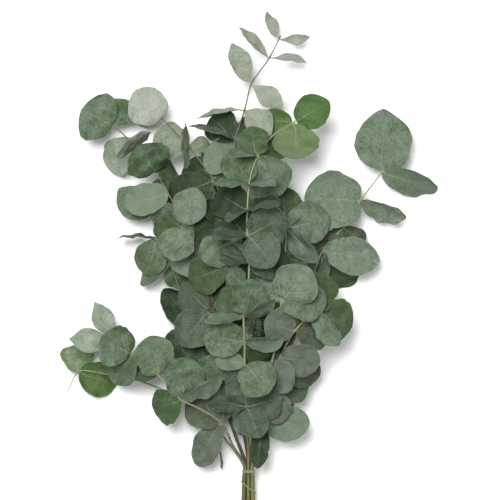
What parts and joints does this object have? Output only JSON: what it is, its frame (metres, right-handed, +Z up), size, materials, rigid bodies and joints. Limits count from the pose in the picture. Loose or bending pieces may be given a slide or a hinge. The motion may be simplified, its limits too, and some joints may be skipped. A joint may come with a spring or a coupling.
{
  "type": "bunch of dried eucalyptus",
  "caption": "Tied bunch of dried round-leaved eucalyptus stems, lying flat, for flower arranging and display.",
  "frame": {"origin": "middle of the bunch's footprint, on the surface it lies on", "axes": "+Y from the cut ends towards the leafy tips, +Z up from the surface, +X to the side of the long right-hand shoot"},
  "size_m": [0.4206, 0.6054, 0.102],
  "materials": {
    "leaf_green": "matt waxy grey-green leaf",
    "leaf_dark": "matt dark green leaf",
    "leaf_silver": "matt silvery leaf with a waxy bloom",
    "leaf_pale": "matt pale green leaf",
    "leaf_bright": "satin yellow-green leaf",
    "leaf_dusky": "matt grey-brown tinted leaf",
    "stem_green": "smooth green bark",
    "stem_brown": "smooth brown bark",
    "tie": "pale green raffia"
  },
  "bodies": {
    "root": {"leaves_centre_1": "leaf_dark", "leaves_centre_10": "leaf_bright", "leaves_centre_2": "leaf_green", "leaves_centre_3": "leaf_green", "leaves_centre_4": "leaf_green", "leaves_centre_5": "leaf_dark", "leaves_centre_6": "leaf_dark", "leaves_centre_7": "leaf_dark", "leaves_centre_8": "leaf_green", "leaves_centre_9": "leaf_green", "leaves_centre_right_1": "leaf_green", "leaves_centre_right_2": "leaf_green", "leaves_inner_left_1": "leaf_dark", "leaves_inner_left_2": "leaf_green", "leaves_inner_left_3": "leaf_silver", "leaves_inner_left_4": "leaf_silver", "leaves_left_1": "leaf_dark", "leaves_left_2": "leaf_green", "leaves_left_3": "leaf_green", "leaves_left_4": "leaf_green", "leaves_low_twig_1": "leaf_bright", "leaves_lower_left_1": "leaf_dusky", "leaves_lower_left_2": "leaf_green", "leaves_lower_left_3": "leaf_green", "leaves_lower_left_4": "leaf_green", "leaves_lower_left_5": "leaf_silver", "leaves_lower_right_1": "leaf_green", "leaves_lower_right_2": "leaf_dusky", "leaves_lower_right_3": "leaf_dusky", "leaves_lower_right_4": "leaf_dusky", "leaves_lower_right_5": "leaf_green", "leaves_right_1": "leaf_green", "leaves_right_2": "leaf_dusky", "leaves_right_3": "leaf_green", "leaves_right_4": "leaf_green", "leaves_top_1": "leaf_green", "leaves_top_2": "leaf_dark", "leaves_top_3": "leaf_dark", "leaves_top_4": "leaf_pale", "leaves_top_5": "leaf_pale", "leaves_top_6": "leaf_pale", "leaves_top_7": "leaf_pale", "leaves_upper_left_1": "leaf_dusky", "leaves_upper_left_2": "leaf_green", "leaves_upper_left_3": "leaf_green", "leaves_upper_left_4": "leaf_green", "leaves_upper_left_5": "leaf_silver", "leaves_upper_left_6": "leaf_green", "stem_centre": "stem_green", "stem_centre_right": "stem_green", "stem_inner_left": "stem_brown", "stem_left": "stem_brown", "stem_low_twig": "stem_green", "stem_lower_left": "stem_green", "stem_lower_right": "stem_green", "stem_right": "stem_green", "stem_top": "stem_brown", "stem_upper_left": "stem_brown", "tie_band": "tie", "tie_thread": "tie"}
  },
  "joints": []
}
